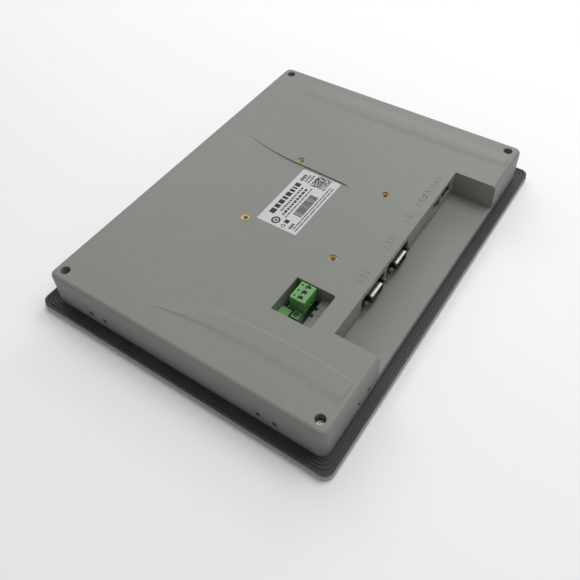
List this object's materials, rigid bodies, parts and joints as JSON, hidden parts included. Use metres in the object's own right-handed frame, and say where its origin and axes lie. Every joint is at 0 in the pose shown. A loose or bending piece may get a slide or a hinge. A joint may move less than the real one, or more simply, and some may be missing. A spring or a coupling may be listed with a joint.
{
  "type": "hmi touch panel",
  "caption": "Operator touch panel for a cabinet door: flat front frame, ribbed seal, deep grey rear housing with a connector bay, lift-out power plug and arm inserts.",
  "frame": {"origin": "middle of the front face, which the panel lies on", "axes": "+X along the long side, +Y up as the panel hangs in a door, +Z out of the back"},
  "size_m": [0.317, 0.243, 0.0347],
  "materials": {
    "housing_grey": "fine spark texture, warm grey",
    "frame_grey": "smooth satin, light grey",
    "seal_rubber": "black extruded rubber",
    "front_print": "printed polyester film, fine texture",
    "touch_glass": "hard-coated touch sheet",
    "screen_dark": "unlit screen",
    "lens_clear": "clear moulded lens",
    "sheet_steel": "zinc-plated sheet",
    "plated_steel": "bright nickel plate",
    "screw_steel": "zinc-plated screw",
    "brass_insert": "knurled brass",
    "gold_contact": "gold flash",
    "terminal_green": "glass-filled polyamide, green",
    "black_plastic": "black glass-filled nylon",
    "white_plastic": "natural nylon",
    "board_green": "solder mask",
    "chip_black": "moulded epoxy",
    "sink_black": "black anodised fins",
    "can_metal": "bare aluminium cans",
    "label_film": "silvered polyester label",
    "foam_black": "closed-cell foam strip",
    "lead_film": "polyimide flat lead"
  },
  "bodies": {
    "panel": {"front_bezel": "frame_grey", "front_film": "front_print", "lamp_lenses": "lens_clear", "panel_gasket": "seal_rubber", "rear_housing": "housing_grey", "rating_label": "label_film", "housing_screws": "screw_steel", "arm_inserts": "brass_insert", "touch_panel": "touch_glass", "foam_seal": "foam_black", "screen_frame": "sheet_steel", "screen_cell": "screen_dark", "backlight_tray": "white_plastic", "inner_plate": "sheet_steel", "board_standoffs": "brass_insert", "board_screws": "screw_steel", "main_board": "board_green", "serial_shell_a": "plated_steel", "serial_insert_a": "black_plastic", "serial_contacts_a": "gold_contact", "jack_screws_a": "plated_steel", "serial_shell_b": "plated_steel", "serial_insert_b": "black_plastic", "serial_contacts_b": "gold_contact", "jack_screws_b": "plated_steel", "network_shield": "plated_steel", "network_jack": "black_plastic", "network_contacts": "gold_contact", "host_shell": "plated_steel", "host_tongue": "black_plastic", "host_base": "black_plastic", "card_slot": "plated_steel", "dip_switch": "black_plastic", "reset_switch": "black_plastic", "terminal_header": "terminal_green", "flange_nut": "screw_steel", "header_pins": "plated_steel", "processor": "chip_black", "heat_sink": "sink_black", "memory_chips": "chip_black", "cell_holder": "black_plastic", "coin_cell": "can_metal", "power_coils": "chip_black", "smoothing_cans": "can_metal", "sounder": "black_plastic", "lead_sockets": "white_plastic", "display_lead": "lead_film", "touch_lead": "lead_film"},
    "plug": {"terminal_plug": "terminal_green", "wire_cage_1": "screw_steel", "wire_cage_2": "screw_steel", "wire_cage_3": "screw_steel"},
    "dip_lever_low": {"dip_lever_1": "white_plastic"},
    "dip_lever_high": {"dip_lever_2": "white_plastic"},
    "reset": {"reset_button": "black_plastic"},
    "screw_1": {"terminal_screw_1": "screw_steel"},
    "screw_2": {"terminal_screw_2": "screw_steel"},
    "screw_3": {"terminal_screw_3": "screw_steel"}
  },
  "joints": [
    {"name": "plug_lift", "type": "slide", "parent": "panel", "child": "plug", "axis": [0, 0, 1], "range_m": [0, 0.012]},
    {"name": "screw_turn_1", "type": "hinge", "parent": "plug", "child": "screw_1", "pos_m": [-0.07258, -0.0454, 0.03], "axis": [0, 0, 1], "range_deg": [-860, 0]},
    {"name": "screw_turn_2", "type": "hinge", "parent": "plug", "child": "screw_2", "pos_m": [-0.0675, -0.0454, 0.03], "axis": [0, 0, 1], "range_deg": [-860, 0]},
    {"name": "screw_turn_3", "type": "hinge", "parent": "plug", "child": "screw_3", "pos_m": [-0.06242, -0.0454, 0.03], "axis": [0, 0, 1], "range_deg": [-860, 0]},
    {"name": "dip_slide_1", "type": "slide", "parent": "panel", "child": "dip_lever_low", "axis": [0, 0, 1], "range_m": [0, 0.001]},
    {"name": "dip_slide_2", "type": "slide", "parent": "panel", "child": "dip_lever_high", "axis": [0, 0, 1], "range_m": [0, 0.001]},
    {"name": "reset_press", "type": "slide", "parent": "panel", "child": "reset", "axis": [0, 1, 0], "range_m": [0, 0.0005], "stiffness_N_per_m": 400, "springref_m": -0.001}
  ]
}
